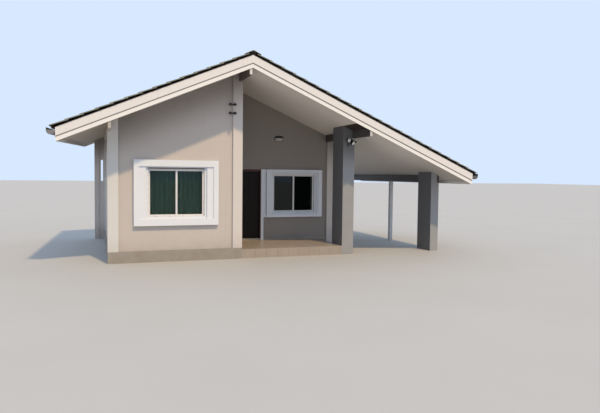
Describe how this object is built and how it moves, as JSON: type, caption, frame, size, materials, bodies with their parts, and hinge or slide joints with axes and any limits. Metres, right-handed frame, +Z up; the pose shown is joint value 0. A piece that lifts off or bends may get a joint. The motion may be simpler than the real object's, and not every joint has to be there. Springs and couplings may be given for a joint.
{
  "type": "bungalow",
  "caption": "Low gabled bungalow with a tiled roof that runs on over an open carport, a deep porch, boxed window surrounds and a hinged front door.",
  "frame": {"origin": "middle of the overall box, at ground level", "axes": "+X to the right along the gable front as seen from the street, +Y from the front to the rear along the ridge, +Z up"},
  "size_m": [10.9571, 6.98, 5.1064],
  "materials": {
    "plinth_concrete": "matte",
    "porch_tiling": "satin",
    "wall_render": "matte",
    "white_render": "matte",
    "dark_render": "matte",
    "surround_render": "matte",
    "cream_steel": "satin",
    "brown_steel": "satin",
    "dark_steel": "satin",
    "post_paint": "satin",
    "rafter_timber": "rough sawn",
    "soffit_board": "painted satin",
    "roof_tiling": "weathered",
    "ridge_tiling": "weathered",
    "board_paint": "painted gloss",
    "gutter_sheet": "satin",
    "window_aluminium": "white powder coat",
    "window_glazing": "clear",
    "frame_paint": "dark brown gloss",
    "door_timber": "varnished",
    "hinge_steel": "satin",
    "handle_steel": "satin",
    "lamp_glass": "opal",
    "lamp_paint": "satin",
    "insulator_glaze": "glazed"
  },
  "bodies": {
    "house": {"house_floor": "plinth_concrete", "porch_floor": "porch_tiling", "front_wall": "wall_render", "left_wall": "wall_render", "rear_wall": "wall_render", "right_wall": "wall_render", "porch_side_wall": "wall_render", "porch_wall_left": "wall_render", "porch_wall_over": "wall_render", "porch_wall_right": "wall_render", "left_column": "white_render", "ridge_column": "white_render", "right_column": "white_render", "rear_left_column": "white_render", "rear_return_wall": "white_render", "carport_column": "dark_render", "outer_column": "dark_render", "carport_post": "post_paint", "left_beam": "cream_steel", "ridge_beam": "brown_steel", "carport_beam": "dark_steel", "eave_beam": "dark_steel", "rafters": "rafter_timber", "soffit_left": "soffit_board", "soffit_right": "soffit_board", "roof_left": "roof_tiling", "roof_right": "roof_tiling", "ridge_cap": "ridge_tiling", "front_barge_left": "board_paint", "front_barge_right": "board_paint", "rear_barge_left": "board_paint", "rear_barge_right": "board_paint", "fascia_left": "board_paint", "fascia_right": "board_paint", "gutters": "gutter_sheet", "window_surrounds": "surround_render", "window_frames": "window_aluminium", "window_glass": "window_glazing", "door_frame": "frame_paint", "frame_hinges": "hinge_steel", "porch_lamp": "lamp_glass", "flood_lamps": "lamp_paint", "wire_insulators": "insulator_glaze"},
    "door": {"front_door": "door_timber", "door_hinges": "hinge_steel", "door_handle": "handle_steel"}
  },
  "joints": [
    {"name": "front_door_hinge", "type": "hinge", "parent": "house", "child": "door", "pos_m": [0.083, -0.2527, 1.305], "axis": [0, 0, -1], "range_deg": [0, 100]}
  ]
}
